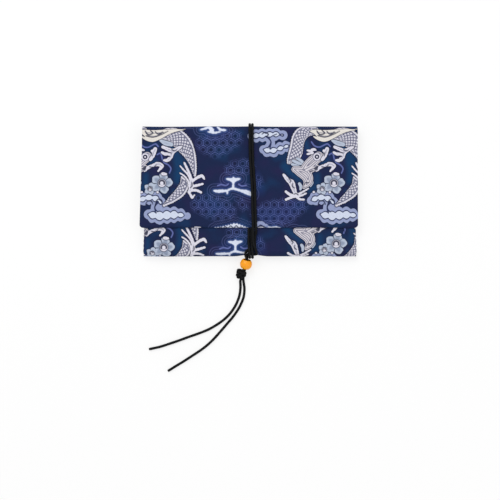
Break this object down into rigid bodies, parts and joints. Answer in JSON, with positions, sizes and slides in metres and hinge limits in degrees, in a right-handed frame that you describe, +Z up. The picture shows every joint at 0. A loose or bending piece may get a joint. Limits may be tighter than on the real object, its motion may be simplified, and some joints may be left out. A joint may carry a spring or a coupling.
{
  "type": "fold-over cloth pouch with cord tie",
  "caption": "Flat pouch folded from one printed cloth strip, its flap tied shut by a doubled cord with a threaded bead and a stop knot.",
  "frame": {"origin": "under the centre of the cloth's bounding box, on the surface that the pouch lies on", "axes": "+X along the flap's free edge, +Y from the pocket's bottom fold towards the top fold, +Z up, out of the flap"},
  "size_m": [0.1504, 0.1722, 0.0115],
  "materials": {
    "printed_cloth": "navy woven cloth with an all-over pale pattern, matt with a slight sheen",
    "braided_cord": "black braided cord, matt",
    "orange_wood": "orange lacquered wood, smooth and slightly glossy"
  },
  "bodies": {
    "pouch": {"pouch_cloth": "printed_cloth", "cord_left_strand": "braided_cord", "cord_right_strand": "braided_cord", "stop_knot": "braided_cord", "cord_left_tail": "braided_cord", "cord_right_tail": "braided_cord"},
    "bead": {"bead": "orange_wood"}
  },
  "joints": [
    {"name": "bead_spin", "type": "hinge", "parent": "pouch", "child": "bead", "pos_m": [-0.0019, -0.0504, 0.0043], "axis": [-0.2301, -0.9228, -0.309], "continuous": true}
  ]
}
